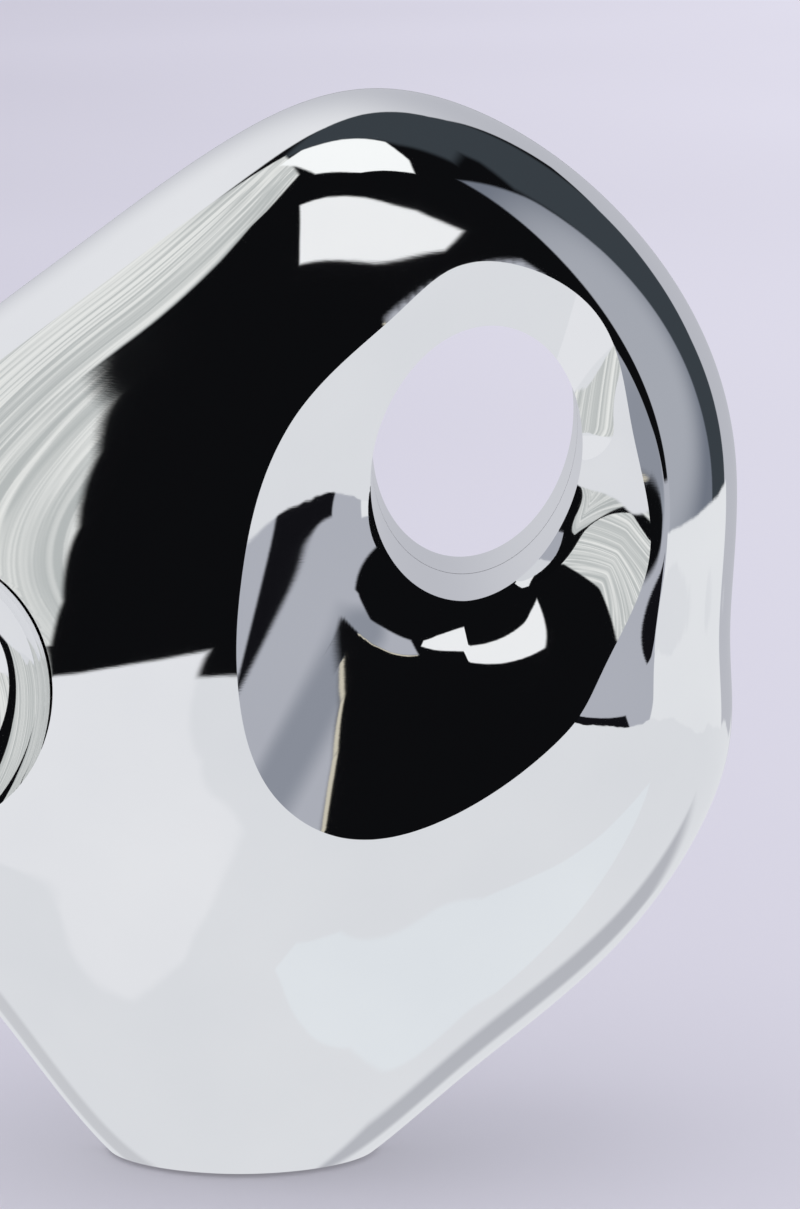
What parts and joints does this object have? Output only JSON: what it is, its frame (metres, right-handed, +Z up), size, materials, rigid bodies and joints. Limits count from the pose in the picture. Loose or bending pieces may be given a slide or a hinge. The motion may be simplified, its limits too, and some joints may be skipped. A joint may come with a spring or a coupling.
{
  "type": "magnetic desk sculpture",
  "caption": "Free-form pierced desk sculpture in mirror chrome: a hollow casting with scooped hollows and a through hole, whose front half pulls off its magnetic seam.",
  "frame": {"origin": "centre of the foot's flat underside", "axes": "+Z up; front, with the large scoop, towards -Y; +X to the right seen from the front"},
  "size_m": [0.1384, 0.0751, 0.1501],
  "materials": {
    "chrome_plate": "mirror-polished bright chrome plate over a zinc casting",
    "frame_aluminium": "milled sheet, fine satin",
    "cup_steel": "zinc-plated turned steel cup",
    "magnet_nickel": "nickel-plated sintered magnet",
    "pin_steel": "ground steel pin",
    "bush_brass": "turned brass",
    "screw_steel": "zinc-plated screw",
    "holder_plastic": "moulded nylon, natural",
    "ballast_iron": "turned iron with a thin oxide film",
    "plate_steel": "zinc-plated steel plate",
    "pad_felt": "pressed charcoal felt, self-adhesive"
  },
  "bodies": {
    "rear_half": {"rear_shell": "chrome_plate", "rear_frame": "frame_aluminium", "rear_magnet_cup_upper": "cup_steel", "rear_magnet_cup_left": "cup_steel", "rear_magnet_cup_lower": "cup_steel", "rear_magnet_upper": "magnet_nickel", "rear_magnet_left": "magnet_nickel", "rear_magnet_lower": "magnet_nickel", "locating_pin_upper": "pin_steel", "locating_pin_lower": "pin_steel", "rear_frame_screws": "screw_steel", "rear_cup_screws": "screw_steel", "ballast_block": "ballast_iron", "ballast_screws": "screw_steel", "base_plate": "plate_steel", "base_plate_screws": "screw_steel", "foot_pad": "pad_felt"},
    "front_half": {"front_shell": "chrome_plate", "front_frame": "frame_aluminium", "front_magnet_cup_upper": "cup_steel", "front_magnet_cup_left": "cup_steel", "front_magnet_cup_lower": "cup_steel", "front_magnet_upper": "magnet_nickel", "front_magnet_left": "magnet_nickel", "front_magnet_lower": "magnet_nickel", "pin_bush_upper": "bush_brass", "pin_bush_lower": "bush_brass", "scoop_magnet_right": "magnet_nickel", "scoop_magnet_left": "magnet_nickel", "scoop_magnet_holder_right": "holder_plastic", "scoop_magnet_holder_left": "holder_plastic", "front_frame_screws": "screw_steel", "front_cup_screws": "screw_steel"}
  },
  "joints": [
    {"name": "front_half_pull", "type": "slide", "parent": "rear_half", "child": "front_half", "axis": [0, -1, 0], "range_m": [0, 0.045]}
  ]
}
